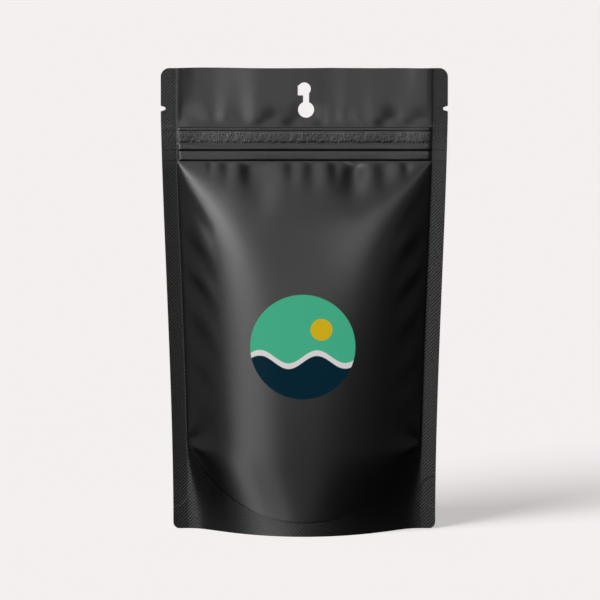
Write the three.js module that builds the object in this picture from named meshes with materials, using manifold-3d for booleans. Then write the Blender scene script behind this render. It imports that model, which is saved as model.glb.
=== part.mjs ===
// A stand-up pouch of matte black film for dry food, filled and shut by the press zip under its header.
// Millimetres, +Z up. The origin is on the floor under the middle of the pouch. The front faces -Y.

import * as THREE from "three";
import { mergeVertices } from "three/addons/utils/BufferGeometryUtils.js";
import Module from "manifold-3d";

// Outline of the pouch, seen from the front
const POUCH_WIDTH = 131;
const POUCH_HEIGHT = 213;
const BASE_WIDTH = 120.3; // between the bottom corners, which the filling draws together
const DRAW_IN_TOP = 190; // height where the sides start to draw in
const TOP_CORNER = 4;
const BOTTOM_CORNER = 3;
const SIDE_STEPS = 14; // straight pieces of a drawn-in side

// Welds: a band down each side, and a curved seal that joins the bottom gusset to each panel
const SIDE_SEAL = 6.8;
const SEAL_THICKNESS = 0.5;
const SEAL_EDGE = 0.6; // width of the step from a weld up to the open film
const FILM_GAP = 0.15; // how far the open film stands off a weld
const SEAL_LEAN = 0.12; // slope of the side bands, which lean forward
const LEAN_END = [165, 190]; // heights over which the lean ends
const GUSSET_RADIUS = 60;
const GUSSET_FOOT = 6.2; // lowest point of the curved seal
const GUSSET_CORNER = 39.2; // where the curved seal meets the side bands

// The filled body
const HALF_DEPTH = 22.3; // from the middle plane to a panel, where no shoulder lowers it
const BASE_CURVE_HALF_WIDTH = 47.5; // the panel's curve at the floor, between two flat wings
const BASE_DOME_POWER = 2; // roundness of a panel across, at the floor and above the gusset
const DOME_POWER = 2.7;
const WING_ROUNDING = 2;
const SEAL_ROUNDING = 0.1;
const SHOULDER_SLOPE = 0.7; // rise of a panel below the zip
const SHOULDER_CURVE = 0.15; // share of that rise which is missing at the side bands
const SHOULDER_SHARPNESS = 1.7; // how crisply the shoulder meets the flanks

// Press zip
const ZIP_FOOT = 170.4;
const ZIP_HEAD = 186;
const ZIP_RIBS = [
  { height: 172.95, width: 4.7, rise: 0.8 },
  { height: 177, width: 3, rise: 0.7 },
  { height: 181.4, width: 5.4, rise: 0.55 },
  { height: 185.1, width: 1.6, rise: 0.6 },
];
const RIB_SQUARENESS = 4;

// Folds of the film: pleats that hang from the zip, each with a place and a size
const PLEATS = [
  { place: -25.4, size: 1.5 },
  { place: -20.4, size: 2.8 },
  { place: 3.9, size: 1.6 },
  { place: 21.8, size: 2.8 },
  { place: 23, size: 1.6 },
  { place: 36.4, size: 1.8 },
];
const PLEAT_WIDTH = 2.4; // of a pleat of size 1, like its start, reach and depth
const PLEAT_START = 0.9;
const PLEAT_REACH = 6;
const PLEAT_DEPTH = 0.42;
const PLEAT_MARGIN = 10; // over which the pleats set in from the side bands

// Folds of the film: waves of the header, each with a crest at a place
const HEADER_WAVES = [
  { pitch: 13.7, crest: 5.4, start: 5, reach: 9, height: 0.36 },
  { pitch: 60, crest: -15, start: 12, reach: 60, height: 0.65 },
];
const HEADER_MARGIN = 3;
const HEADER_LEAN = 0.055; // slope of the zip and the header, which lean back
const BACK_SHIFT = 0.5; // the back's waves are shifted by this share of their pitch

// Folds of the film: dents of the header, or swellings where the depth is negative
const HEADER_DENTS = [
  { start: -60, deepest: -47, end: -15, depth: 1.9 },
  { start: 1, deepest: 10.5, end: 21, depth: 0.5 },
  { start: 31, deepest: 42, end: 54, depth: 0.9 },
  { start: 46, deepest: 55, end: 60, depth: -0.5 },
];
const DENT_REACH = 20; // a dent deepens upwards from the zip's foot over this

// Folds of the film: slanting puckers along the side bands
const PUCKER_PITCH = 20;
const PUCKER_SLANT = 1;
const PUCKER_REACH = 17;
const PUCKER_TAPER = 0.6; // their reach shrinks with the distance down from the zip
const PUCKER_PEAK = 0.5; // share of their reach where they are highest
const PUCKER_DEPTH = 0.42;
const PUCKER_CREST = 127; // height of a crest at the side band
const PUCKER_LOW = [40, 130]; // heights over which they set in

// Folds of the film: fans from the upper ends of the curved seal
const FAN_HEIGHT = 0.45;
const FAN_PITCH = 1.8; // radians
const FAN_CREST = -0.17;
const FAN_START = 6;
const FAN_REACH = 14;

// Punched hang hole and tear notches
const HOLE_X = 0.8;
const HOLE_HEIGHT = 194;
const HOLE_RADIUS = 3.65;
const UPPER_HOLE_HEIGHT = 203.5;
const UPPER_HOLE_RADIUS = 2.95;
const UPPER_HOLE_SQUARE = 1.6; // how far its left side is square above the middle
const HOLE_SLOT = 2.7;
const NOTCH_HEIGHT = 194.5;
const NOTCH_DEPTH = 2.2;
const NOTCH_RADIUS = 0.8; // of its round tip
const NOTCH_MOUTH = 2.6;

// Under the base: the panels stand on a thin skirt, and the gusset sags to the floor inside it
const SKIRT_THICKNESS = 0.5;
const SKIRT_TOP_GAP = 1.2; // from the roof of the hollow up to the curved seal
const GROOVE_WIDTH = 5;
const GROOVE_SHARE = 0.8; // the most of the half depth that the groove takes
const POCKET_SHARE = 0.9; // height of the end pockets against the groove's
const HOLLOW_HALF_LENGTH = 50;
const SAG_HALF_LENGTH = 34; // the gusset lies on the floor within this
const TRIM = 2; // how far a blank reaches past what cuts it

// Facets of the blank and of the hollow
const PANEL_COLUMNS = 38; // between the side bands
const SKIRT_ROWS = 3;
const BODY_ROWS = 20;
const GATHER_ROWS = 6;
const GATHER_ROW_SPAN = 15;
const HEADER_ROWS = 5;
const RIB_STATIONS = [-0.5, -0.3, 0.3, 0.5]; // shares of a rib's width
const SETTLING_PASSES = 4; // a place on the blank depends on its height, and its height on its place
const HOLE_SEGMENTS = 10;
const HOLLOW_COLUMNS = 20;
const HOLLOW_LEVELS = 3;
const GROOVE_STATIONS = [1, 0.75, 0.45, 0.2, 0]; // shares of its width, from its inner side to the skirt

const wasm = await Module();
wasm.setup();

const { clamp, lerp, smoothstep } = THREE.MathUtils;

// A closed three.js geometry as a solid that can be cut and joined.
function solid(geometry) {
  const bare = geometry.clone();
  bare.deleteAttribute("normal");
  bare.deleteAttribute("uv");
  const merged = mergeVertices(bare, 1e-4);
  return new wasm.Manifold(
    new wasm.Mesh({
      numProp: 3,
      vertProperties: new Float32Array(merged.attributes.position.array),
      triVerts: new Uint32Array(merged.index.array),
    }),
  );
}

// A cut or joined solid as a three.js geometry.
function geometryOf(made) {
  const mesh = made.getMesh();
  const geometry = new THREE.BufferGeometry();
  geometry.setAttribute("position", new THREE.BufferAttribute(mesh.vertProperties, 3));
  geometry.setIndex(new THREE.BufferAttribute(mesh.triVerts, 1));
  geometry.computeVertexNormals();
  return geometry;
}

// Half the pouch's width at a height.
function halfWidth(z) {
  const down = clamp((DRAW_IN_TOP - z) / DRAW_IN_TOP, 0, 1);
  const drawIn = (smoothstep(down, 0, 1) + Math.sin((Math.PI / 2) * down)) / 2;
  return lerp(POUCH_WIDTH, BASE_WIDTH, drawIn) / 2;
}

// Where the open film starts, inside the side band.
const sealInner = (z) => halfWidth(z) - SIDE_SEAL;

// Distance from the side band's inner edge towards the middle.
const fromSeal = (x, z) => sealInner(z) - Math.abs(x);

// Height of the gusset's curved seal.
function gussetSeal(x) {
  const across = Math.min(Math.abs(x), GUSSET_RADIUS);
  const arc = GUSSET_FOOT + GUSSET_RADIUS - Math.sqrt(GUSSET_RADIUS ** 2 - across ** 2);
  return Math.min(arc, GUSSET_CORNER);
}

// 0 on the welds, 1 on the open film.
function openFilm(x, z) {
  const fromSide = smoothstep(fromSeal(x, z), 0, SEAL_EDGE);
  const fromGusset = smoothstep(z - gussetSeal(x), 0, SEAL_EDGE);
  return Math.min(fromSide, fromGusset);
}

// The filled form of a panel without its folds: a dome across, and a shoulder that rises from the zip.
function bulge(x, z) {
  if (z >= ZIP_FOOT) return 0;
  const fromFloor = smoothstep(z, 0, GUSSET_CORNER);
  const share = Math.abs(x) / lerp(BASE_CURVE_HALF_WIDTH, sealInner(z), fromFloor);
  const dome = HALF_DEPTH * (1 - share ** lerp(BASE_DOME_POWER, DOME_POWER, fromFloor));
  const rounding = lerp(WING_ROUNDING, SEAL_ROUNDING, fromFloor);
  const lifted = (dome + Math.hypot(dome, 2 * rounding)) / 2;
  const shoulder = SHOULDER_SLOPE * (ZIP_FOOT - z) * (1 - SHOULDER_CURVE * share ** 2);
  const power = SHOULDER_SHARPNESS;
  return (lifted * shoulder) / (lifted ** power + shoulder ** power) ** (1 / power);
}

// Waves across the pouch with a crest at a place.
const wave = ({ pitch, crest }, x, turn) =>
  Math.cos(2 * Math.PI * ((x - crest) / pitch - BACK_SHIFT * turn));

// Slanting puckers along the side bands, which end at the shoulder's ridge.
function sidePuckers(x, z, turn) {
  const inward = fromSeal(x, z);
  const along = (z - PUCKER_CREST + PUCKER_SLANT * inward) / PUCKER_PITCH + BACK_SHIFT * turn;
  const room = Math.min(1, (PUCKER_TAPER * (ZIP_FOOT - z)) / PUCKER_REACH);
  if (room <= 0) return 0;
  const share = inward / (PUCKER_REACH * room);
  const near = smoothstep(share, 0, PUCKER_PEAK) * (1 - smoothstep(share, PUCKER_PEAK, 1));
  return PUCKER_DEPTH * room * Math.cos(2 * Math.PI * along) * near * smoothstep(z, ...PUCKER_LOW);
}

// Pleats that hang from the zip. The back's are the front's, turned about the middle.
function zipGathers(x, z, turn) {
  const down = Math.max(0, ZIP_FOOT - z);
  let height = 0;
  for (const { place, size } of PLEATS) {
    const off = (x - place * (1 - 2 * turn)) / (PLEAT_WIDTH * size);
    const start = 1 - Math.exp(-down / (PLEAT_START * size));
    const fade = Math.exp(-((down / (PLEAT_REACH * size)) ** 2));
    height -= PLEAT_DEPTH * size * Math.exp(-(off ** 2)) * start * fade;
  }
  return height * smoothstep(fromSeal(x, z), 0, PLEAT_MARGIN);
}

// Soft waves of the header: short ones at the zip and long ones above.
function headerWaves(x, z, turn) {
  const up = z - ZIP_HEAD;
  if (up <= 0) return 0;
  let height = 0;
  for (const set of HEADER_WAVES)
    height += set.height * wave(set, x, turn) * smoothstep(up, 0, set.start) * Math.exp(-up / set.reach);
  return height * smoothstep(fromSeal(x, z), 0, HEADER_MARGIN);
}

// Folds that fan out from each upper end of the curved seal.
function cornerFans(x, z) {
  const inward = fromSeal(x, GUSSET_CORNER);
  const up = z - GUSSET_CORNER;
  const angle = Math.atan2(up, inward);
  const away = Math.hypot(inward, up);
  const near = smoothstep(away, 0, FAN_START) * Math.exp(-((away / FAN_REACH) ** 2));
  return FAN_HEIGHT * Math.cos((2 * Math.PI * (angle - FAN_CREST)) / FAN_PITCH) * near;
}

// Round ribs of the zip, pressed through the film.
function zipRibs(z) {
  const rises = ZIP_RIBS.map(({ height, width, rise }) => {
    const off = clamp((2 * Math.abs(z - height)) / width, 0, 1);
    return rise * Math.sqrt(1 - off ** RIB_SQUARENESS);
  });
  return Math.max(0, ...rises);
}

// Distance from the middle plane to a panel's outer face. The front has turn 0 and the back turn 1.
function panel(x, z, turn) {
  const above = Math.max(0, z);
  const hanging = zipGathers(x, above, turn) + headerWaves(x, above, turn);
  const folds = sidePuckers(x, above, turn) + hanging + cornerFans(x, above);
  const raised = FILM_GAP + zipRibs(above) + folds;
  return SEAL_THICKNESS / 2 + bulge(x, above) + openFilm(x, above) * raised;
}

// How far the film leans out of the middle plane: the side bands forward, the zip and the header back.
function lean(x, z) {
  const above = Math.max(0, z);
  const forward = SEAL_LEAN * Math.max(0, -fromSeal(x, above)) * (1 - smoothstep(z, ...LEAN_END));
  const up = Math.max(0, z - ZIP_FOOT);
  let back = HEADER_LEAN * up;
  for (const { start, deepest, end, depth } of HEADER_DENTS) {
    const across = smoothstep(x, start, deepest) * (1 - smoothstep(x, deepest, end));
    back += depth * across * (1 - Math.exp(-up / DENT_REACH));
  }
  return back - forward;
}

// Places of the blank's columns at a height, from the left edge to the right.
function columnPlaces(z) {
  const inner = sealInner(z);
  const open = inner - SEAL_EDGE;
  const places = [-halfWidth(z) - TRIM, -inner];
  for (let i = 0; i <= PANEL_COLUMNS; i++) places.push(lerp(-open, open, i / PANEL_COLUMNS));
  places.push(inner, halfWidth(z) + TRIM);
  return places;
}

// Heights of the blank's rows on a column, from the floor to the top.
function rowHeights(x) {
  const seal = gussetSeal(x);
  const bodyTop = ZIP_FOOT - GATHER_ROW_SPAN;
  const heights = [-TRIM];
  for (let i = 0; i <= SKIRT_ROWS; i++) heights.push((seal * i) / SKIRT_ROWS);
  for (let i = 0; i < BODY_ROWS; i++) heights.push(lerp(seal + SEAL_EDGE, bodyTop, i / BODY_ROWS));
  for (let i = 0; i <= GATHER_ROWS; i++) heights.push(lerp(bodyTop, ZIP_FOOT, i / GATHER_ROWS));
  for (const { height, width } of ZIP_RIBS)
    for (const station of RIB_STATIONS) heights.push(height + station * width);
  for (let i = 0; i <= HEADER_ROWS; i++) heights.push(lerp(ZIP_HEAD, POUCH_HEIGHT + TRIM, i / HEADER_ROWS));
  return heights;
}

// Both panels as one closed blank, before it is cut out: a box whose two large faces take their form.
function panelBlank() {
  const columns = columnPlaces(0).length - 1;
  const rows = rowHeights(0).length - 1;
  const blank = new THREE.BoxGeometry(columns, rows, 1, columns, rows, 1);
  const place = blank.attributes.position;
  for (let i = 0; i < place.count; i++) {
    const column = Math.round(place.getX(i) + columns / 2);
    const row = Math.round(place.getY(i) + rows / 2);
    const front = place.getZ(i) > 0;
    let x = columnPlaces(GUSSET_CORNER)[column];
    let z = 0;
    for (let pass = 0; pass < SETTLING_PASSES; pass++) {
      z = rowHeights(x)[row];
      x = columnPlaces(Math.max(0, z))[column];
    }
    const half = panel(x, z, front ? 0 : 1);
    place.setXYZ(i, x, (front ? -half : half) + lean(x, z), z);
  }
  return solid(blank);
}

// An upright prism through the pouch, from a shape drawn in the front view.
function throughPrism(shape) {
  const deep = 4 * HALF_DEPTH;
  const prism = new THREE.ExtrudeGeometry(shape, {
    depth: deep,
    bevelEnabled: false,
    curveSegments: HOLE_SEGMENTS,
  });
  prism.rotateX(Math.PI / 2);
  prism.translate(0, deep / 2, 0);
  return solid(prism);
}

// The die-cut outline: drawn-in sides and round corners.
function outline() {
  const shape = new THREE.Shape();
  const base = BASE_WIDTH / 2;
  const top = POUCH_WIDTH / 2;
  const sideTop = POUCH_HEIGHT - TOP_CORNER;
  shape.moveTo(-base + BOTTOM_CORNER, 0);
  shape.lineTo(base - BOTTOM_CORNER, 0);
  shape.absarc(base - BOTTOM_CORNER, BOTTOM_CORNER, BOTTOM_CORNER, -Math.PI / 2, 0);
  for (let i = 1; i <= SIDE_STEPS; i++) {
    const z = lerp(BOTTOM_CORNER, sideTop, i / SIDE_STEPS);
    shape.lineTo(halfWidth(z), z);
  }
  shape.absarc(top - TOP_CORNER, sideTop, TOP_CORNER, 0, Math.PI / 2);
  shape.absarc(-top + TOP_CORNER, sideTop, TOP_CORNER, Math.PI / 2, Math.PI);
  for (let i = SIDE_STEPS; i >= 1; i--) {
    const z = lerp(BOTTOM_CORNER, sideTop, i / SIDE_STEPS);
    shape.lineTo(-halfWidth(z), z);
  }
  shape.absarc(-base + BOTTOM_CORNER, BOTTOM_CORNER, BOTTOM_CORNER, Math.PI, 1.5 * Math.PI);
  return throughPrism(shape);
}

// A tear notch: a short wedge with a round tip, cut in from one side.
function tearNotch(side) {
  const edge = halfWidth(NOTCH_HEIGHT);
  const tip = edge - NOTCH_DEPTH + NOTCH_RADIUS;
  const flare = (NOTCH_MOUTH / 2 - NOTCH_RADIUS) / (edge - tip);
  const half = NOTCH_RADIUS + flare * (edge + TRIM - tip);
  const shape = new THREE.Shape();
  shape.moveTo(side * (edge + TRIM), NOTCH_HEIGHT - side * half);
  shape.lineTo(side * (edge + TRIM), NOTCH_HEIGHT + side * half);
  const start = (side * Math.PI) / 2;
  shape.absarc(side * tip, NOTCH_HEIGHT, NOTCH_RADIUS, start, start + Math.PI);
  return throughPrism(shape);
}

// A round hole.
function roundHole(x, z, radius) {
  const shape = new THREE.Shape();
  shape.absarc(x, z, radius, 0, 2 * Math.PI);
  return throughPrism(shape);
}

// A four-sided hole.
function boxHole(left, right, low, high) {
  const shape = new THREE.Shape();
  shape.moveTo(left, low);
  shape.lineTo(right, low);
  shape.lineTo(right, high);
  shape.lineTo(left, high);
  return throughPrism(shape);
}

// The hang hole: a round hole, a slot and an upper hole that is squared on its left.
function hangHole() {
  const upperFoot = UPPER_HOLE_HEIGHT - UPPER_HOLE_RADIUS;
  const slot = boxHole(HOLE_X - HOLE_SLOT / 2, HOLE_X + HOLE_SLOT / 2, HOLE_HEIGHT, UPPER_HOLE_HEIGHT);
  const squared = boxHole(-UPPER_HOLE_RADIUS, 0, upperFoot, UPPER_HOLE_HEIGHT + UPPER_HOLE_SQUARE);
  return roundHole(HOLE_X, HOLE_HEIGHT, HOLE_RADIUS)
    .add(roundHole(0, UPPER_HOLE_HEIGHT, UPPER_HOLE_RADIUS))
    .add(slot)
    .add(squared);
}

// The space under the gusset: a groove inside the skirt that opens into a pocket at each end.
function gussetHollow() {
  const across = 2 * GROOVE_STATIONS.length;
  const size = [HOLLOW_COLUMNS, HOLLOW_LEVELS, across];
  const hollow = new THREE.BoxGeometry(...size, ...size);
  const place = hollow.attributes.position;
  for (let i = 0; i < place.count; i++) {
    const x = (2 * HOLLOW_HALF_LENGTH * place.getX(i)) / HOLLOW_COLUMNS;
    const level = place.getY(i) / HOLLOW_LEVELS + 0.5;
    const station = Math.round(Math.abs(place.getZ(i)));
    const turn = place.getZ(i) < 0 ? 1 : 0;
    const top = gussetSeal(x) - SKIRT_TOP_GAP;
    const room = panel(x, top, turn) - SKIRT_THICKNESS;
    const groove = Math.min(GROOVE_WIDTH, GROOVE_SHARE * room);
    const inside = station === 0 ? room : groove * GROOVE_STATIONS[station - 1];
    const lift = smoothstep(Math.abs(x), SAG_HALF_LENGTH, HOLLOW_HALF_LENGTH);
    const sagged = lerp(-TRIM / 2, POCKET_SHARE * top, lift);
    const roof = lerp(sagged, top, Math.max(0, 1 - inside / groove) ** 2);
    const wall = panel(x, Math.max(0, lerp(-TRIM, top, level)), turn) - SKIRT_THICKNESS;
    const y = (wall * (room - inside)) / room;
    place.setXYZ(i, x, turn ? y : -y, lerp(-TRIM, roof, level));
  }
  return solid(hollow);
}

const film = new THREE.MeshStandardMaterial({ color: 0x1b1b1c, roughness: 0.45, metalness: 0 });

const cut = outline()
  .subtract(tearNotch(1))
  .subtract(tearNotch(-1))
  .subtract(hangHole());
const pouch = new THREE.Mesh(geometryOf(panelBlank().intersect(cut).subtract(gussetHollow())), film);
pouch.name = "pouch";

const part = new THREE.Group();
part.add(pouch);

export default part;
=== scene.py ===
"""Looks of a stand-up food pouch: its film at full detail, with the photograph's floor, light and camera.

The form is worked out in millimetres, in the frame's own axes, and put into meshes in metres.
"""

import math

import bmesh
import bpy
import numpy as np
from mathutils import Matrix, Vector


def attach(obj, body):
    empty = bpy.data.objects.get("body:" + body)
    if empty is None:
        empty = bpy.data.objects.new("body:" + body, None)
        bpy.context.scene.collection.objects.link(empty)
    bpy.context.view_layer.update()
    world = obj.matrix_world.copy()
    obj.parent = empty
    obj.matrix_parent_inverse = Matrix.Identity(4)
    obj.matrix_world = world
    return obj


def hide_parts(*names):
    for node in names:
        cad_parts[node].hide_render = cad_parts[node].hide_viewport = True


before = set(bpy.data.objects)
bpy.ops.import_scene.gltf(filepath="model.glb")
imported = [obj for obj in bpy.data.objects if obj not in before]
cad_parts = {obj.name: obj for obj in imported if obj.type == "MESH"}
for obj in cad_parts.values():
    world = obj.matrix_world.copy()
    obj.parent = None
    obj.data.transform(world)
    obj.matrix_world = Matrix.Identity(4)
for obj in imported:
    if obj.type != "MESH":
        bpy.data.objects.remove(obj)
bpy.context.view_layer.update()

MM = 0.001
TINY = 1e-6  # keeps a length above zero
TRIM = 2.0  # how far a blank or a tool reaches past what it meets

# Outline of the pouch, seen from the front
POUCH_WIDTH = 131.0
POUCH_HEIGHT = 213.0
BASE_WIDTH = 120.3
DRAW_IN_TOP = 190.0  # the sides draw in below this height
TOP_CORNER = 4.0
BOTTOM_CORNER = 3.0

# Welds
SIDE_SEAL = 6.8
SEAL_THICKNESS = 0.5
SEAL_EDGE = 0.4  # width of the step at a side seal
FILM_GAP = 0.15  # the open film stands proud of the welds by this
SKIRT_GAP_SHARE = 0.6  # of that gap on the skirt's middle
SKIRT_GAP_END = (25.0, 42.0)  # places across where the skirt's gap ends
SEAL_LEAN = 0.12  # the side seals lean forward
LEAN_END = (165.0, 190.0)  # heights over which the lean ends
GUSSET_RADIUS = 60.0
GUSSET_FOOT = 6.2
GUSSET_CORNER = 39.2
GUSSET_EDGE = 0.3  # width of the step at the gusset's curved seal

# The filled body
HALF_DEPTH = 22.3  # before the shoulder is blended in
BASE_CURVE_HALF_WIDTH = 47.5
BASE_DOME_POWER = 2.0  # roundness of the panel across, at the floor and above the gusset
DOME_POWER = 2.7
WING_ROUNDING = 2.0  # how softly the dome runs out on the gusset's wings and at the side seals
SEAL_ROUNDING = 0.1
SHOULDER_SLOPE = 0.7
SHOULDER_CURVE = 0.15
SHOULDER_SHARPNESS = 1.7

# Press zip: each rib's lower edge, upper edge and rise, with the strip that carries the upper three last
ZIP_FOOT = 170.4
ZIP_HEAD = 186.0
ZIP_RIBS = (
    (170.5, 175.4, 0.8),
    (175.4, 178.6, 0.7),
    (178.6, 184.2, 0.55),
    (184.2, 186.0, 0.6),
    (175.4, 186.0, 0.4),
)
RIB_SQUARENESS = 5
ZIP_END = 1.8  # the ribs rise over this from the side seals
CRUSHED_SHARE = 0.12  # what is left of the ribs on the side seals

# The zip's wide band is crumpled by crossing waves, each with a pitch across and a pitch up
BAND_LOW = 178.8
BAND_HIGH = 184.0
BAND_CRUMPLES = ((2.7, 9.0), (-3.7, 6.1), (4.9, -14.0), (-2.9, -11.0))
BAND_CRUMPLE_HEIGHT = 0.016
BAND_FADE = 0.2  # share of the band's width over which they fade out at each edge

# Pleats under the zip: each has a place and a size, which scales its width, depth and length
PLEATS = (
    (-42.8, 0.7),
    (-35.2, 1.2),
    (-25.4, 1.5),
    (-20.4, 2.8),
    (-5.6, 1.3),
    (3.9, 1.6),
    (14.0, 1.2),
    (21.8, 2.8),
    (23.0, 1.6),
    (36.4, 1.8),
    (46.7, 1.0),
)
PLEAT_WIDTH = 2.4
PLEAT_START = 0.9
PLEAT_REACH = 6.0
PLEAT_DEPTH = 0.42
PLEAT_MARGIN = 10.0  # the pleats fade out over this towards the side seals

# A wave of the header has a pitch and the place of a crest, sets in and dies away over two distances
# up from the zip, and has a height
HEADER_WAVES = (
    (13.7, 5.4, 5.0, 9.0, 0.36),
    (60.0, -15.0, 12.0, 60.0, 0.65),
)
WAVE_MARGIN = 3.0  # the waves fade out over this towards the side seals
HEADER_LEAN = 0.055  # the zip and the header lean back

# A dent of the header starts, is deepest and ends at places across, and has a depth,
# which is negative where the header swells forward
HEADER_DENTS = (
    (-60.0, -47.0, -15.0, 1.9),
    (1.0, 10.5, 21.0, 0.5),
    (31.0, 42.0, 54.0, 0.9),
    (46.0, 55.0, 60.0, -0.5),
)
DENT_REACH = 20.0  # a dent deepens upwards from the zip's foot over this

# Puckers along the side seals, and folds that fan out from the ends of the gusset's seal
BACK_SHIFT = 0.5  # the back's waves and puckers are shifted by this share of their pitch
PUCKER_PITCH = 20.0
PUCKER_SLANT = 1.0
PUCKER_REACH = 17.0
PUCKER_PEAK = 0.5  # share of their reach at which they are highest
PUCKER_DEPTH = 0.42
PUCKER_CREST = 127.0  # height of a crest at the seal
PUCKER_UNEVENNESS = 0.06  # how far their spacing sways, as a share of the pitch
PUCKER_SWAY = 2.3  # radians of that sway from one pucker to the next
PUCKER_START = (40.0, 130.0)  # heights over which the puckers set in
PUCKER_TAPER = 0.6  # their reach is at most this share of the distance down from the zip
PUCKER_LEAST = 0.01  # share of their reach that is left beside the zip
FAN_HEIGHT = 0.45
FAN_PITCH = 103.0  # degrees
FAN_CREST = -10.0
FAN_START = 6.0
FAN_REACH = 14.0
FAN_MARGIN = 4.0  # over which they set in from the curved seal

# Punched hang hole and tear notches
HOLE_X = 0.8
HOLE_HEIGHT = 194.0
HOLE_RADIUS = 3.65
UPPER_HOLE_HEIGHT = 203.5
UPPER_HOLE_RADIUS = 2.95
UPPER_HOLE_SQUARE = 0.55  # share of its radius up to which the upper hole is square on its left
HOLE_SLOT = 2.7
NOTCH_HEIGHT = 194.5
NOTCH_DEPTH = 2.2
NOTCH_RADIUS = 0.8  # of its round tip
NOTCH_MOUTH = 2.6

# Under the base
SKIRT_THICKNESS = 0.5
SKIRT_TOP_GAP = 1.2  # from the roof of the hollow up to the curved seal
GROOVE_WIDTH = 5.0
GROOVE_SHARE = 0.8  # the most of the half depth that the groove takes
POCKET_SHARE = 0.9  # height of the end pockets against the groove's
HOLLOW_HALF_LENGTH = 50.0
SAG_HALF_LENGTH = 34.0  # the gusset lies on the floor within this

# Finish and fine relief of the film
FILM_ROUGHNESS = 0.3
WELD_ROUGHNESS = 0.1  # more on the side seals
FILM_GLOSS = 0.5
WELD_GLOSS = 0.36
PRINT_GLOSS = 0.02
SKIRT_WELD = 0.2  # the skirt's middle is pressed less than the side seals
WING = (40.0, 50.0)  # places across where the skirt joins the side seals
KNURL_PITCH = 1.6
KNURL_HEIGHT = 0.025
SIDE_KNURL_HEIGHT = 0.02  # added on the side seals
HATCH_LOW = 172.4  # the zip's lowest rib is knurled too, between these heights
HATCH_HIGH = 175.0
GRAIN_SIZE = 0.7
GRAIN_HEIGHT = 0.012
BAND_WRINKLE_SIZE = (0.8, 0.8, 1.4)  # fine wrinkles on the zip's wide band
BAND_WRINKLE_HEIGHT = 0.27
SPOT_WELD_HEIGHT = 17.2
SPOT_WELD_RADIUS = 7.0
SPOT_WELD_STEP = 0.08
SPOT_WELD_EDGE = 0.4

# Print on the front: a round badge of a green sky, a pale wave, a dark sea and a yellow sun
PRINT_X = -0.7
PRINT_HEIGHT = 87.7
PRINT_RADIUS = 24.0
SEA_DROP = 7.0  # from the badge's middle down to the sea
SEA_WAVE_HEIGHT = 3.0
SEA_WAVE_PITCH = 26.0
SURF_WIDTH = 2.6
SUN_X = 8.5  # from the badge's middle
SUN_RISE = 8.0
SUN_RADIUS = 5.0
PRINT_EDGE = 0.12
GREEN = (0.054, 0.41, 0.238, 1)
NAVY = (0.0009, 0.018, 0.032, 1)
YELLOW = (0.62, 0.42, 0.009, 1)
WHITE = (0.68, 0.66, 0.66, 1)
FILM_BLACK = (0.0015, 0.0015, 0.0015, 1)

# Fineness of the film's mesh and of the tools that cut it
PANEL_COLUMNS = 170
SEAL_COLUMNS = 8
SKIRT_ROWS = 16
BODY_ROWS = 96
BODY_CROWDING = 1.3  # the body's rows crowd towards the gusset's seal
GATHER_ROWS = 24
GATHER_ROW_SPAN = 16.0
RIB_ROWS = 16
HEADER_ROWS = 26
SETTLING_PASSES = 8  # a place on the blank depends on its height, and its height on its place
HOLLOW_COLUMNS = 80
WALL_LEVELS = 12
GROOVE_STATIONS = 10
SIDE_STEPS = 60
ARC_STEPS = 24
HOLE_STEPS = 46
HOLE_ARC = (0, 352)  # degrees, and the outline closes by itself
SHARP_ANGLE = math.radians(50)

# Floor, in metres: it glows evenly, so that only the main light's shadow shows on it
FLOOR_HALF_WIDTH = 30.0
FLOOR_LOOKS = {
    "Base Color": (0.8, 0.77, 0.77, 1),
    "Roughness": 1,
    "Specular IOR Level": 0,
    "Emission Color": (1, 0.955, 0.955, 1),
    "Emission Strength": 0.49,
}

# Light, in metres and degrees: each softbox's azimuths, elevations and radiance
POUCH_MIDDLE = Vector((0, 0, 0.11))
LIGHT_DISTANCE = 2.4
FILL = "fill"  # shows the film's own colours and no reflection
SOFTBOXES = {
    FILL: ((0, 40), (10, 50), 3.9),
    "key_crest": ((20, 30), (31, 44), 9.0),
    "key_top": ((22, 32), (11, 31), 12.5),
    "key": ((21, 38), (3, 11), 9.0),
    "key_foot": ((12, 38), (-7, 2), 4.0),
    "key_low": ((12, 46), (-20, -7), 2.6),
    "key_skirt": ((34, 50), (-36, -16), 3.2),
    "front": ((-6, 8), (-5, 1), 3.5),
    "front_high": ((-9, 12), (1, 24), 0.9),
    "right": ((-20, -7), (2, 25), 3.6),
    "right_low": ((-40, -10), (-4, 2), 0.8),
    "top": ((-24, 22), (26, 44), 0.9),
    "top_high": ((-5, 14), (44, 80), 1.2),
    "top_left": ((16, 34), (46, 64), 1.8),
    "far_left": ((48, 104), (-16, 22), 0.45),
    "far_right": ((-100, -28), (-14, 50), 0.14),
    "back": ((160, 200), (-10, 26), 2.2),
    "back_top": ((150, 210), (28, 80), 1.6),
    "back_left": ((138, 156), (2, 25), 4.5),
    "back_key": ((205, 224), (-12, 36), 10.0),
}
SHADOW_LIGHT = "shadow_light"
SHADOW_ENERGY = 2.2
SHADOW_SOFTNESS = math.radians(30)
SHADOW_FROM = (55, 42)  # azimuth and elevation
STUDIO_GREY = (0.05, 0.05, 0.05, 1)

# Camera, in metres: it looks slightly down on the pouch through a long lens
CAMERA_TILT = math.radians(9.45)
CAMERA_DISTANCE = 4.0
SENSOR_WIDTH = 36  # millimetres
FRAME_WIDTH = 0.27464  # width of the picture at the pouch
AIM = Vector((-0.00197, 0, 0.10615))


def smoothstep(value, low, high):
    """0 up to low, 1 from high, and an even curve between."""
    share = np.clip((value - low) / (high - low), 0, 1)
    return share * share * (3 - 2 * share)


def hump(value, start, peak, end):
    """0 up to start, 1 at the peak and 0 again from the end."""
    return smoothstep(value, start, peak) * (1 - smoothstep(value, peak, end))


def lerp(start, end, share):
    return start + (end - start) * share


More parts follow.
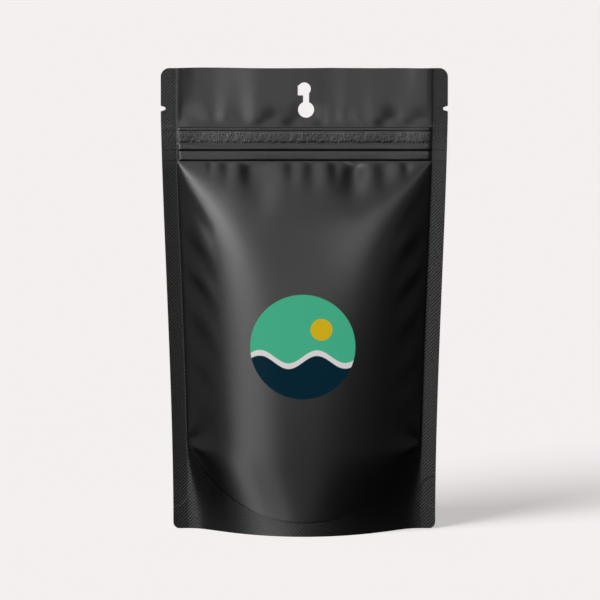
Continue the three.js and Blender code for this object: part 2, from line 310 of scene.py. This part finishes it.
def half_width(z):
    """Half of the pouch's width at a height."""
    down = np.clip((DRAW_IN_TOP - z) / DRAW_IN_TOP, 0, 1)
    draw_in = (smoothstep(down, 0, 1) + np.sin(math.pi / 2 * down)) / 2
    return lerp(POUCH_WIDTH, BASE_WIDTH, draw_in) / 2


def seal_inner(z):
    """Distance from the middle to the inner edge of a side seal."""
    return half_width(z) - SIDE_SEAL


def gusset_seal(x):
    """Height of the gusset's curved seal."""
    across = np.minimum(np.abs(x), GUSSET_RADIUS)
    curve = GUSSET_FOOT + GUSSET_RADIUS - np.sqrt(GUSSET_RADIUS**2 - across**2)
    return np.minimum(curve, GUSSET_CORNER)


def from_side_seal(x, z):
    """Distance inwards from the inner edge of a side seal."""
    return seal_inner(z) - np.abs(x)


def from_gusset_seal(x, z):
    """Distance inwards from the gusset's curved seal."""
    return GUSSET_RADIUS - np.hypot(x, np.minimum(z - GUSSET_FOOT - GUSSET_RADIUS, 0))


def off_side_seal(x, z):
    """0 on the side seals, 1 inside them."""
    return smoothstep(from_side_seal(x, z), 0, SEAL_EDGE)


def off_gusset_seal(x, z):
    """0 on the skirt below the gusset's curved seal, 1 above it."""
    return smoothstep(from_gusset_seal(x, z), 0, GUSSET_EDGE)


def open_film(x, z):
    """0 on the welds, 1 on the open film."""
    return np.minimum(off_side_seal(x, z), off_gusset_seal(x, z))


def bulge(x, z):
    """The filled form of a panel without its folds: a dome across, and a shoulder under the zip."""
    from_floor = smoothstep(z, 0, GUSSET_CORNER)
    share = np.abs(x) / lerp(BASE_CURVE_HALF_WIDTH, seal_inner(z), from_floor)
    dome = HALF_DEPTH * (1 - share ** lerp(BASE_DOME_POWER, DOME_POWER, from_floor))
    rounding = lerp(WING_ROUNDING, SEAL_ROUNDING, from_floor)
    lifted = (dome + np.hypot(dome, 2 * rounding)) / 2
    shoulder = SHOULDER_SLOPE * np.maximum(TINY, ZIP_FOOT - z) * (1 - SHOULDER_CURVE * share**2)
    power = SHOULDER_SHARPNESS
    return lifted * shoulder / (lifted**power + shoulder**power) ** (1 / power)


def side_puckers(x, z, turn):
    """Soft slanting puckers along the side seals."""
    inward = from_side_seal(x, z)
    along = (z - PUCKER_CREST + PUCKER_SLANT * inward) / PUCKER_PITCH + BACK_SHIFT * turn
    uneven = PUCKER_UNEVENNESS * np.sin(PUCKER_SWAY * along)
    wave = np.cos(2 * math.pi * (along + uneven))
    room = np.clip(PUCKER_TAPER * (ZIP_FOOT - z) / PUCKER_REACH, PUCKER_LEAST, 1)
    near = hump(inward / (PUCKER_REACH * room), 0, PUCKER_PEAK, 1)
    return PUCKER_DEPTH * room * wave * near * smoothstep(z, *PUCKER_START)


def zip_pleats(x, z, turn):
    """Pleats that hang from the zip. The back has them mirrored."""
    down = np.maximum(ZIP_FOOT - z, 0)
    folds = 0
    for place, size in PLEATS:
        off = (x - place * (1 - 2 * turn)) / (PLEAT_WIDTH * size)
        start = 1 - np.exp(-down / (PLEAT_START * size))
        fade = start * np.exp(-((down / (PLEAT_REACH * size)) ** 2))
        folds = folds - PLEAT_DEPTH * size * np.exp(-off**2) * fade
    return folds * smoothstep(from_side_seal(x, z), 0, PLEAT_MARGIN)


def header_waves(x, z, turn):
    """Soft waves of the header: short ones at the zip and long ones above."""
    up = np.maximum(z - ZIP_HEAD, 0)
    waves = 0
    for pitch, place, start, reach, height in HEADER_WAVES:
        wave = np.cos(2 * math.pi * ((x - place) / pitch - BACK_SHIFT * turn))
        waves = waves + height * wave * smoothstep(up, 0, start) * np.exp(-up / reach)
    return waves * smoothstep(from_side_seal(x, z), 0, WAVE_MARGIN)


def corner_fans(x, z):
    """Folds that fan out from each upper end of the gusset's curved seal."""
    inward = seal_inner(GUSSET_CORNER) - np.abs(x)
    up = z - GUSSET_CORNER
    angle = np.degrees(np.arctan2(up, inward))
    away = np.hypot(inward, up)
    window = smoothstep(away, 0, FAN_START) * np.exp(-((away / FAN_REACH) ** 2))
    window = window * smoothstep(from_gusset_seal(x, z), 0, FAN_MARGIN)
    return FAN_HEIGHT * np.cos(2 * math.pi * (angle - FAN_CREST) / FAN_PITCH) * window


def zip_ribs(z):
    """Round ribs of the zip, pressed through the film."""
    rise = np.zeros_like(z)
    for low, high, top in ZIP_RIBS:
        off = np.clip(np.abs(2 * z - low - high) / (high - low), 0, 1)
        rise = np.maximum(rise, top * np.sqrt(1 - off**RIB_SQUARENESS))
    return rise


def band_crumples(x, z, turn):
    """Coarse crumpling of the zip's wide band, which fades out at its edges."""
    share = (z - BAND_LOW) / (BAND_HIGH - BAND_LOW)
    inside = smoothstep(share, 0, BAND_FADE) * (1 - smoothstep(share, 1 - BAND_FADE, 1))
    waves = 0
    for pitch_across, pitch_up in BAND_CRUMPLES:
        waves = waves + np.cos(2 * math.pi * (x / pitch_across + z / pitch_up + BACK_SHIFT * turn))
    return BAND_CRUMPLE_HEIGHT * waves * inside


def panel(x, z, turn):
    """Distance from the middle plane to a panel's outer face: turn is 0 on the front and 1 on the back."""
    above = np.maximum(0, z)
    folds = side_puckers(x, above, turn) + zip_pleats(x, above, turn)
    folds = folds + header_waves(x, above, turn) + corner_fans(x, above)
    ribs = zip_ribs(above) + band_crumples(x, above, turn)
    full = lerp(CRUSHED_SHARE, 1, smoothstep(from_side_seal(x, above), 0, ZIP_END))
    skirt_gap = SKIRT_GAP_SHARE * (1 - smoothstep(np.abs(x), *SKIRT_GAP_END))
    gap = FILM_GAP * off_side_seal(x, above) * lerp(skirt_gap, 1, off_gusset_seal(x, above))
    raised = full * ribs + gap + folds * open_film(x, above)
    return SEAL_THICKNESS / 2 + bulge(x, above) + raised


def lean(x, z):
    """How far the film leans from the middle plane: the side seals forward, the zip and the header back."""
    on_seal = np.maximum(-from_side_seal(x, z), 0)
    forward = SEAL_LEAN * on_seal * (1 - smoothstep(z, *LEAN_END))
    up = np.maximum(z - ZIP_FOOT, 0)
    back = HEADER_LEAN * up
    for start, deepest, end, depth in HEADER_DENTS:
        back = back + depth * hump(x, start, deepest, end) * (1 - np.exp(-up / DENT_REACH))
    return back - forward


def column_rule():
    """Each column's place as a share of the seal's inner edge and a step from it."""
    shares = np.linspace(-1, 1, PANEL_COLUMNS + 1)
    steps = (SIDE_SEAL + TRIM) * np.linspace(1, 0, SEAL_COLUMNS) ** 2
    share = np.concatenate([-np.ones(SEAL_COLUMNS), shares, np.ones(SEAL_COLUMNS)])
    step = np.concatenate([-steps, -shares * SEAL_EDGE, steps[::-1]])
    return share, step


def zip_rows():
    """Heights of rows that crowd towards the edges of the ribs."""
    edges = np.unique([ZIP_FOOT] + [edge for low, high, _ in ZIP_RIBS for edge in (low, high)])
    ease = 0.5 - 0.5 * np.cos(np.linspace(0, math.pi, RIB_ROWS, endpoint=False))
    return lerp(edges[:-1, None], edges[1:, None], ease).ravel()


def row_rule():
    """Each row's height as a base and a share of the gusset seal's height on its column."""
    body_top = ZIP_FOOT - GATHER_ROW_SPAN
    skirt = 1 - np.linspace(1, 0, SKIRT_ROWS) ** 2
    body = np.linspace(0, 1, BODY_ROWS, endpoint=False) ** BODY_CROWDING
    gather = np.linspace(body_top, ZIP_FOOT, GATHER_ROWS, endpoint=False)
    header = np.linspace(ZIP_HEAD, POUCH_HEIGHT + TRIM, HEADER_ROWS)
    level = np.concatenate([gather, zip_rows(), header])
    base = np.concatenate([[-TRIM], 0 * skirt, lerp(GUSSET_EDGE, body_top, body), level])
    share = np.concatenate([[0], skirt, 1 - body, 0 * level])
    return base, share


def panel_grid():
    """Places of the blank's corners, rows by columns."""
    share, step = column_rule()
    base, lift = row_rule()
    z = base[:, None] + lift[:, None] * GUSSET_CORNER + 0 * share
    for _ in range(SETTLING_PASSES):
        x = share * seal_inner(np.maximum(0, z)) + step
        z = base[:, None] + lift[:, None] * gusset_seal(x)
    return x, z


def add_object(name, data):
    """Puts a mesh, a light or a camera into the scene."""
    made = bpy.data.objects.new(name, data)
    bpy.context.scene.collection.objects.link(made)
    return made


def new_mesh_object(name, points, faces):
    """An object of triangles, which stay flat when they are cut."""
    mesh = bpy.data.meshes.new(name)
    mesh.from_pydata((np.asarray(points) * MM).tolist(), [], faces)
    shape = bmesh.new()
    shape.from_mesh(mesh)
    bmesh.ops.triangulate(shape, faces=shape.faces)
    shape.to_mesh(mesh)
    shape.free()
    return add_object(name, mesh)


def loft(name, loops):
    """A closed mesh through loops of points, the first of them anticlockwise seen from its own end."""
    count, around, _ = loops.shape
    index = np.arange(count * around).reshape(count, around)
    ahead = np.roll(index, -1, axis=1)
    sides = np.stack([index[:-1], index[1:], ahead[1:], ahead[:-1]], -1).reshape(-1, 4)
    caps = [index[0].tolist(), index[-1, ::-1].tolist()]
    return new_mesh_object(name, loops.reshape(-1, 3), sides.tolist() + caps)


def panel_blank():
    """Both panels as one closed blank, before it is cut out."""
    x, z = panel_grid()
    middle = lean(x, z)
    front = np.stack([x, middle - panel(x, z, 0), z], -1)
    back = np.stack([x, middle + panel(x, z, 1), z], -1)
    return loft("pouch_film", np.concatenate([back, front[:, ::-1]], axis=1))


def gusset_hollow():
    """The space under the gusset: a groove inside the skirt that opens into a pocket at each end."""
    x = np.linspace(-HOLLOW_HALF_LENGTH, HOLLOW_HALF_LENGTH, HOLLOW_COLUMNS)
    top = gusset_seal(x) - SKIRT_TOP_GAP
    lift = smoothstep(np.abs(x), SAG_HALF_LENGTH, HOLLOW_HALF_LENGTH)
    sagged = lerp(-TRIM / 2, POCKET_SHARE * top, lift)
    loop = []
    for turn, side in ((0, -1), (1, 1)):
        room = panel(x, top, turn) - SKIRT_THICKNESS
        groove = np.minimum(GROOVE_WIDTH, GROOVE_SHARE * room)
        rows = []
        for level in np.linspace(0, 1, WALL_LEVELS, endpoint=False):
            height = lerp(-TRIM, top, level)
            rows.append((panel(x, height, turn) - SKIRT_THICKNESS, height))
        for station in np.linspace(0, 1, GROOVE_STATIONS):
            rows.append((room - station * groove, lerp(sagged, top, (1 - station) ** 2)))
        loop.extend(np.stack([x, side * y, z], -1) for y, z in rows[::-side])
    return loft("hollow", np.stack(loop, 1))


def arc(x, z, radius, start, end, steps=ARC_STEPS):
    """Points on an arc in the front view, from one angle to another in degrees."""
    turn = np.radians(np.linspace(start, end, steps))
    return np.stack([x + radius * np.cos(turn), z + radius * np.sin(turn)], -1)


def through_prism(name, outline):
    """An upright prism through the pouch, from an anticlockwise outline drawn in the front view."""
    deep = 2 * HALF_DEPTH
    return loft(name, np.stack([np.insert(outline, 1, y, axis=1) for y in (-deep, deep)]))


def outline_prism():
    """The die-cut outline with drawn-in sides and round corners."""
    base = BASE_WIDTH / 2 - BOTTOM_CORNER
    top = POUCH_WIDTH / 2 - TOP_CORNER
    side_top = POUCH_HEIGHT - TOP_CORNER
    z = np.linspace(BOTTOM_CORNER, side_top, SIDE_STEPS)[1:-1]
    right = np.stack([half_width(z), z], -1)
    left = np.stack([-half_width(z), z], -1)[::-1]
    return through_prism("outline", np.concatenate([
        arc(base, BOTTOM_CORNER, BOTTOM_CORNER, -90, 0),
        right,
        arc(top, side_top, TOP_CORNER, 0, 90),
        arc(-top, side_top, TOP_CORNER, 90, 180),
        left,
        arc(-base, BOTTOM_CORNER, BOTTOM_CORNER, 180, 270),
    ]))


def tear_notch(side):
    """A flared notch with a round tip in the right edge, or in the left one where side is negative."""
    edge = half_width(NOTCH_HEIGHT)
    tip = edge - NOTCH_DEPTH + NOTCH_RADIUS
    flare = (NOTCH_MOUTH / 2 - NOTCH_RADIUS) / (edge - tip)
    half = NOTCH_RADIUS + flare * (edge + TRIM - tip)
    mouth = [[edge + TRIM, NOTCH_HEIGHT - half], [edge + TRIM, NOTCH_HEIGHT + half]]
    outline = np.concatenate([mouth, arc(tip, NOTCH_HEIGHT, NOTCH_RADIUS, 90, 270)])
    if side < 0:
        outline = (outline * [-1, 1])[::-1]
    return through_prism("tear_notch", outline)


def round_hole(x, z, radius):
    return through_prism("hole", arc(x, z, radius, *HOLE_ARC, HOLE_STEPS))


def box_hole(left, right, low, high):
    return through_prism("hole", np.array([[left, low], [right, low], [right, high], [left, high]]))


def hang_hole():
    """Two round holes joined by a slot, the upper one square on its lower left."""
    upper_foot = UPPER_HOLE_HEIGHT - UPPER_HOLE_RADIUS
    square_top = UPPER_HOLE_HEIGHT + UPPER_HOLE_SQUARE * UPPER_HOLE_RADIUS
    return [
        round_hole(HOLE_X, HOLE_HEIGHT, HOLE_RADIUS),
        round_hole(0, UPPER_HOLE_HEIGHT, UPPER_HOLE_RADIUS),
        box_hole(HOLE_X - HOLE_SLOT / 2, HOLE_X + HOLE_SLOT / 2, HOLE_HEIGHT, UPPER_HOLE_HEIGHT),
        box_hole(-UPPER_HOLE_RADIUS, 0, upper_foot, square_top),
    ]


def cut(target, tool, operation):
    """Cuts or trims the target with a tool, which is then removed."""
    modifier = target.modifiers.new("cut", "BOOLEAN")
    modifier.operation = operation
    modifier.solver = "MANIFOLD"
    modifier.object = tool
    made = bpy.data.meshes.new_from_object(target.evaluated_get(bpy.context.evaluated_depsgraph_get()))
    target.modifiers.clear()
    target.data = made
    bpy.data.objects.remove(tool)


class Graph:
    """Short calls that add a material's nodes and link them."""

    def __init__(self, material):
        material.use_nodes = True
        self.nodes = material.node_tree.nodes
        self.links = material.node_tree.links
        self.shader = self.nodes["Principled BSDF"]

    def set(self, socket, value):
        """Gives a socket a value, or a link where the value is another node's output."""
        if isinstance(value, bpy.types.NodeSocket):
            self.links.new(value, socket)
        else:
            socket.default_value = value

    def math(self, operation, *values):
        node = self.nodes.new("ShaderNodeMath")
        node.operation = operation
        for socket, value in zip(node.inputs, values):
            self.set(socket, value)
        return node.outputs[0]

    def place(self):
        """Where a point is, in millimetres."""
        coordinates = self.nodes.new("ShaderNodeTexCoord").outputs["Object"]
        scaled = self.nodes.new("ShaderNodeVectorMath")
        scaled.operation = "SCALE"
        self.set(scaled.inputs[0], coordinates)
        self.set(scaled.inputs["Scale"], 1 / MM)
        return scaled.outputs[0]

    def split(self, vector):
        node = self.nodes.new("ShaderNodeSeparateXYZ")
        self.set(node.inputs[0], vector)
        return node.outputs

    def attribute(self, name):
        """A value that the mesh carries at its vertices."""
        node = self.nodes.new("ShaderNodeAttribute")
        node.attribute_name = name
        return node.outputs["Fac"]

    def noise(self, vector, size):
        """Smooth noise about zero, with features of a size."""
        node = self.nodes.new("ShaderNodeTexNoise")
        self.set(node.inputs["Vector"], vector)
        self.set(node.inputs["Scale"], 1 / size)
        return self.math("SUBTRACT", node.outputs["Fac"], 0.5)

    def stretch(self, vector, sizes):
        """A vector measured in a size of its own along each axis."""
        node = self.nodes.new("ShaderNodeVectorMath")
        node.operation = "DIVIDE"
        self.set(node.inputs[0], vector)
        self.set(node.inputs[1], sizes)
        return node.outputs[0]

    def wave(self, value, pitch):
        """A sine wave of a pitch along a value."""
        return self.math("SINE", self.math("MULTIPLY", value, 2 * math.pi / pitch))

    def over(self, value, limit, edge=PRINT_EDGE):
        """0 where a value is under a limit and 1 where it is over, with a soft edge."""
        node = self.nodes.new("ShaderNodeMapRange")
        self.set(node.inputs["Value"], value)
        self.set(node.inputs["From Min"], limit - edge)
        self.set(node.inputs["From Max"], limit + edge)
        return node.outputs["Result"]

    def between(self, value, low, high):
        """1 where a value is between two limits."""
        return self.math("SUBTRACT", self.over(value, low), self.over(value, high))

    def disc(self, across, up, radius, edge=PRINT_EDGE):
        """1 inside a disc."""
        squares = self.math("MULTIPLY_ADD", across, across, self.math("MULTIPLY", up, up))
        return self.math("SUBTRACT", 1.0, self.over(self.math("SQRT", squares), radius, edge))

    def mix(self, share, under, over):
        """One colour over another by a share."""
        node = self.nodes.new("ShaderNodeMix")
        node.data_type = "RGBA"
        factor, first, second, result = node.inputs[0], node.inputs[6], node.inputs[7], node.outputs[2]
        self.set(factor, share)
        self.set(first, under)
        self.set(second, over)
        return result


def pressed_knurl(graph, x, z, welded):
    """Height of the fine lozenges that welding jaws press into the welds and the zip's lowest rib."""
    on_weld = graph.math("MINIMUM", graph.math("DIVIDE", welded, SKIRT_WELD), 1.0)
    knurled = graph.math("MAXIMUM", on_weld, graph.between(z, HATCH_LOW, HATCH_HIGH))
    side_height = graph.math("MULTIPLY", welded, SIDE_KNURL_HEIGHT)
    height = graph.math("MULTIPLY_ADD", knurled, KNURL_HEIGHT, side_height)
    lozenges = graph.math("MULTIPLY", graph.wave(x, KNURL_PITCH), graph.wave(z, KNURL_PITCH))
    return graph.math("MULTIPLY", height, lozenges)


def band_wrinkles(graph, place, z):
    """Height of the fine wrinkles on the zip's wide band."""
    wrinkled = graph.noise(graph.stretch(place, BAND_WRINKLE_SIZE), 1.0)
    height = graph.math("MULTIPLY", wrinkled, BAND_WRINKLE_HEIGHT)
    return graph.math("MULTIPLY", height, graph.between(z, BAND_LOW, BAND_HIGH))


def spot_welds(graph, x, z):
    """Height of the round welds at the lower side edges, which are pressed in."""
    side = graph.math("SUBTRACT", graph.math("ABSOLUTE", x), half_width(SPOT_WELD_HEIGHT))
    up = graph.math("SUBTRACT", z, SPOT_WELD_HEIGHT)
    spot = graph.disc(side, up, SPOT_WELD_RADIUS, SPOT_WELD_EDGE)
    return graph.math("MULTIPLY", spot, -SPOT_WELD_STEP)


def film_relief(graph, place, x, z, welded):
    """Height of the film's fine relief, in millimetres."""
    grain = graph.math("MULTIPLY", graph.noise(place, GRAIN_SIZE), GRAIN_HEIGHT)
    relief = graph.math("ADD", pressed_knurl(graph, x, z, welded), grain)
    relief = graph.math("ADD", relief, band_wrinkles(graph, place, z))
    return graph.math("ADD", relief, spot_welds(graph, x, z))


def badge_print(graph, x, y, z):
    """Colours of the badge, and where it is printed on the front panel."""
    across = graph.math("SUBTRACT", x, PRINT_X)
    up = graph.math("SUBTRACT", z, PRINT_HEIGHT)
    swing = graph.wave(across, SEA_WAVE_PITCH)
    above_sea = graph.math("ADD", graph.math("MULTIPLY_ADD", swing, -SEA_WAVE_HEIGHT, up), SEA_DROP)
    sky = graph.mix(graph.over(above_sea, SURF_WIDTH), WHITE, GREEN)
    sea = graph.mix(graph.over(above_sea, 0.0), NAVY, sky)
    sun_across = graph.math("SUBTRACT", across, SUN_X)
    sun_up = graph.math("SUBTRACT", up, SUN_RISE)
    badge = graph.mix(graph.disc(sun_across, sun_up, SUN_RADIUS), sea, YELLOW)
    front = graph.math("LESS_THAN", y, 0.0)
    printed = graph.math("MULTIPLY", graph.disc(across, up, PRINT_RADIUS), front)
    return badge, printed


def film_material():
    """Matte black film with pressed welds and a badge on its front."""
    material = bpy.data.materials.new("matte_black_film")
    graph = Graph(material)
    place = graph.place()
    x, y, z = graph.split(place)
    welded = graph.attribute("weld")
    badge, printed = badge_print(graph, x, y, z)
    roughness = graph.math("MULTIPLY_ADD", welded, WELD_ROUGHNESS, FILM_ROUGHNESS)
    gloss = graph.math("MULTIPLY_ADD", welded, WELD_GLOSS - FILM_GLOSS, FILM_GLOSS)
    gloss = graph.math("MULTIPLY_ADD", printed, PRINT_GLOSS - FILM_GLOSS, gloss)
    bump = graph.nodes.new("ShaderNodeBump")
    graph.set(bump.inputs["Height"], film_relief(graph, place, x, z, welded))
    graph.set(bump.inputs["Distance"], MM)
    surface = graph.shader.inputs
    graph.set(surface["Base Color"], graph.mix(printed, FILM_BLACK, badge))
    graph.set(surface["Roughness"], roughness)
    graph.set(surface["Specular IOR Level"], gloss)
    graph.set(surface["Normal"], bump.outputs["Normal"])
    return material


def mark_welds(mesh):
    """Gives each vertex a weld value: 1 on the side seals, less on the skirt and 0 on the open film."""
    places = np.empty(3 * len(mesh.vertices))
    mesh.vertices.foreach_get("co", places)
    x, _, z = places.reshape(-1, 3).T / MM
    weld = mesh.attributes.new("weld", "FLOAT", "POINT")
    skirt = lerp(SKIRT_WELD, 1, smoothstep(np.abs(x), *WING)) * (1 - off_gusset_seal(x, z))
    weld.data.foreach_set("value", np.maximum(1 - off_side_seal(x, z), skirt))


def make_pouch():
    """The pouch's film, cut from its blank and dressed."""
    film = panel_blank()
    cut(film, outline_prism(), "INTERSECT")
    for tool in [tear_notch(1), tear_notch(-1), *hang_hole(), gusset_hollow()]:
        cut(film, tool, "DIFFERENCE")
    film.data.polygons.foreach_set("use_smooth", np.ones(len(film.data.polygons), bool))
    film.data.set_sharp_from_angle(angle=SHARP_ANGLE)
    mark_welds(film.data)
    film.data.materials.clear()
    film.data.materials.append(film_material())
    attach(film, "root")
    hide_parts("pouch")
    return film


def make_floor():
    """A pale floor that also makes the backdrop."""
    half = FLOOR_HALF_WIDTH / MM
    corners = [[-half, -half, 0], [half, -half, 0], [half, half, 0], [-half, half, 0]]
    floor = new_mesh_object("floor", corners, [[0, 1, 2, 3]])
    material = bpy.data.materials.new("pale_floor")
    graph = Graph(material)
    for name, value in FLOOR_LOOKS.items():
        graph.set(graph.shader.inputs[name], value)
    floor.data.materials.append(material)
    floor.visible_glossy = False
    return floor


def round_about(azimuth, elevation):
    """A direction from the pouch. Azimuth 0 is in front of it, and azimuths grow to the viewer's left."""
    turn, rise = math.radians(azimuth), math.radians(elevation)
    return Vector((-math.cos(rise) * math.sin(turn), -math.cos(rise) * math.cos(turn), math.sin(rise)))


def look_along(thing, direction):
    """Turns a light or a camera."""
    thing.rotation_euler = direction.to_track_quat("-Z", "Y").to_euler()


def receivers(name, piece):
    """A collection that makes a light reach one piece alone."""
    made = bpy.data.collections.new(name)
    made.objects.link(piece)
    return made


def span_at_light(angles):
    """Length that a span of angles has at the lights' distance."""
    return 2 * LIGHT_DISTANCE * math.tan(math.radians(angles[1] - angles[0]) / 2)


def softbox(name, azimuths, elevations, radiance, lit):
    """A rectangle of light over spans of azimuth and elevation."""
    data = bpy.data.lights.new(name, "AREA")
    data.shape = "RECTANGLE"
    data.size = span_at_light(azimuths)
    data.size_y = span_at_light(elevations)
    data.energy = radiance * math.pi * data.size * data.size_y
    light = add_object(name, data)
    towards = round_about(sum(azimuths) / 2, sum(elevations) / 2)
    light.location = POUCH_MIDDLE + LIGHT_DISTANCE * towards
    look_along(light, -towards)
    light.visible_camera = False
    light.visible_diffuse = name == FILL
    light.visible_glossy = name != FILL
    light.light_linking.receiver_collection = lit


def shadow_light(floor):
    """A soft sun that lights the floor alone, for the pouch's shadow."""
    data = bpy.data.lights.new(SHADOW_LIGHT, "SUN")
    data.energy = SHADOW_ENERGY
    data.angle = SHADOW_SOFTNESS
    light = add_object(SHADOW_LIGHT, data)
    look_along(light, -round_about(*SHADOW_FROM))
    light.light_linking.receiver_collection = receivers("lit_by_sun", floor)


def studio_world():
    """A dim grey world that the film doesn't mirror."""
    world = bpy.data.worlds.new("studio")
    bpy.context.scene.world = world
    world.use_nodes = True
    world.node_tree.nodes["Background"].inputs["Color"].default_value = STUDIO_GREY
    world.cycles_visibility.glossy = False


def make_lights(film, floor):
    """Softboxes that light the film alone, a sun for the shadow, and the world."""
    lit_film = receivers("lit_by_softboxes", film)
    for name, (azimuths, elevations, radiance) in SOFTBOXES.items():
        softbox(name, azimuths, elevations, radiance, lit_film)
    shadow_light(floor)
    studio_world()


def make_camera():
    data = bpy.data.cameras.new("camera")
    data.sensor_width = SENSOR_WIDTH
    data.lens = SENSOR_WIDTH * CAMERA_DISTANCE / FRAME_WIDTH
    camera = add_object("camera", data)
    towards = Vector((0, math.cos(CAMERA_TILT), -math.sin(CAMERA_TILT)))
    camera.location = AIM - towards * CAMERA_DISTANCE
    look_along(camera, towards)
    bpy.context.scene.camera = camera


make_camera()
pouch_film = make_pouch()
make_lights(pouch_film, make_floor())
bpy.context.scene.view_settings.view_transform = "Standard"
